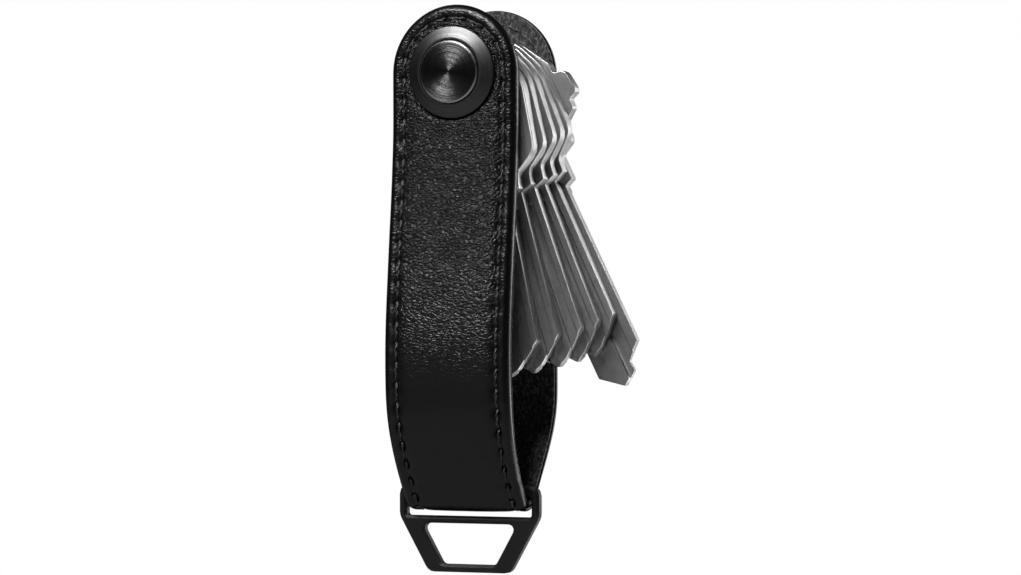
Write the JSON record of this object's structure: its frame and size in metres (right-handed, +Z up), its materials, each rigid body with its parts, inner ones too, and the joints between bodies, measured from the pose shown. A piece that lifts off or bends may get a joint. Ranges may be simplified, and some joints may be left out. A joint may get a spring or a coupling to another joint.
{
  "type": "leather key organiser",
  "caption": "Black stitched leather key organiser: a folded strap clamps a fan of steel keys on a button post, with a flat ring hanging in its fold.",
  "frame": {"origin": "centre of the button's flat front face, on the axis of the post", "axes": "+Z up, from the hanging ring to the button; +X across the strap, towards the fanned keys; +Y from the front leg of the strap to its back leg"},
  "size_m": [0.0359, 0.0222, 0.0856],
  "materials": {
    "black_leather": "satin, fine grain",
    "black_suede": "matt suede",
    "grey_foam": "soft foam, hidden",
    "black_thread": "twisted thread",
    "black_anodised": "turned and anodised black",
    "black_nylon": "matt",
    "nickel_steel": "nickel plated, fine brushed",
    "black_steel": "satin black"
  },
  "bodies": {
    "strap_and_post": {"strap_leather": "black_leather", "strap_padding": "grey_foam", "strap_lining": "black_suede", "outer_seam_thread": "black_thread", "inner_seam_thread": "black_thread", "button_post": "black_anodised", "front_bezel": "black_anodised", "front_washer": "black_nylon", "back_washer": "black_nylon", "back_bezel": "black_anodised"},
    "thin_key_body": {"thin_key": "nickel_steel"},
    "house_key_1_body": {"house_key_1": "nickel_steel"},
    "house_key_2_body": {"house_key_2": "nickel_steel"},
    "house_key_3_body": {"house_key_3": "nickel_steel"},
    "house_key_4_body": {"house_key_4": "nickel_steel"},
    "house_key_5_body": {"house_key_5": "nickel_steel"},
    "wide_key_body": {"wide_key": "nickel_steel"},
    "ring": {"d_ring": "black_steel"},
    "clamp_screw_body": {"clamp_screw": "black_anodised"}
  },
  "joints": [
    {"name": "thin_key_swing", "type": "hinge", "parent": "strap_and_post", "child": "thin_key_body", "pos_m": [0, 0.00435, 0], "axis": [0, -1, 0], "continuous": true},
    {"name": "house_key_1_swing", "type": "hinge", "parent": "strap_and_post", "child": "house_key_1_body", "pos_m": [0, 0.00564, 0], "axis": [0, -1, 0], "continuous": true},
    {"name": "house_key_2_swing", "type": "hinge", "parent": "strap_and_post", "child": "house_key_2_body", "pos_m": [0, 0.00768, 0], "axis": [0, -1, 0], "continuous": true},
    {"name": "house_key_3_swing", "type": "hinge", "parent": "strap_and_post", "child": "house_key_3_body", "pos_m": [0, 0.00971, 0], "axis": [0, -1, 0], "continuous": true},
    {"name": "house_key_4_swing", "type": "hinge", "parent": "strap_and_post", "child": "house_key_4_body", "pos_m": [0, 0.01174, 0], "axis": [0, -1, 0], "continuous": true},
    {"name": "house_key_5_swing", "type": "hinge", "parent": "strap_and_post", "child": "house_key_5_body", "pos_m": [0, 0.01376, 0], "axis": [0, -1, 0], "continuous": true},
    {"name": "wide_key_swing", "type": "hinge", "parent": "strap_and_post", "child": "wide_key_body", "pos_m": [0, 0.0158, 0], "axis": [0, -1, 0], "continuous": true},
    {"name": "ring_swing", "type": "hinge", "parent": "strap_and_post", "child": "ring", "pos_m": [0, 0.00808, -0.0631], "axis": [1, 0, 0], "range_deg": [-70, 70]},
    {"name": "clamp_screw_turn", "type": "hinge", "parent": "strap_and_post", "child": "clamp_screw_body", "pos_m": [0, 0.02088, 0], "axis": [0, 1, 0], "range_deg": [0, 720]}
  ]
}
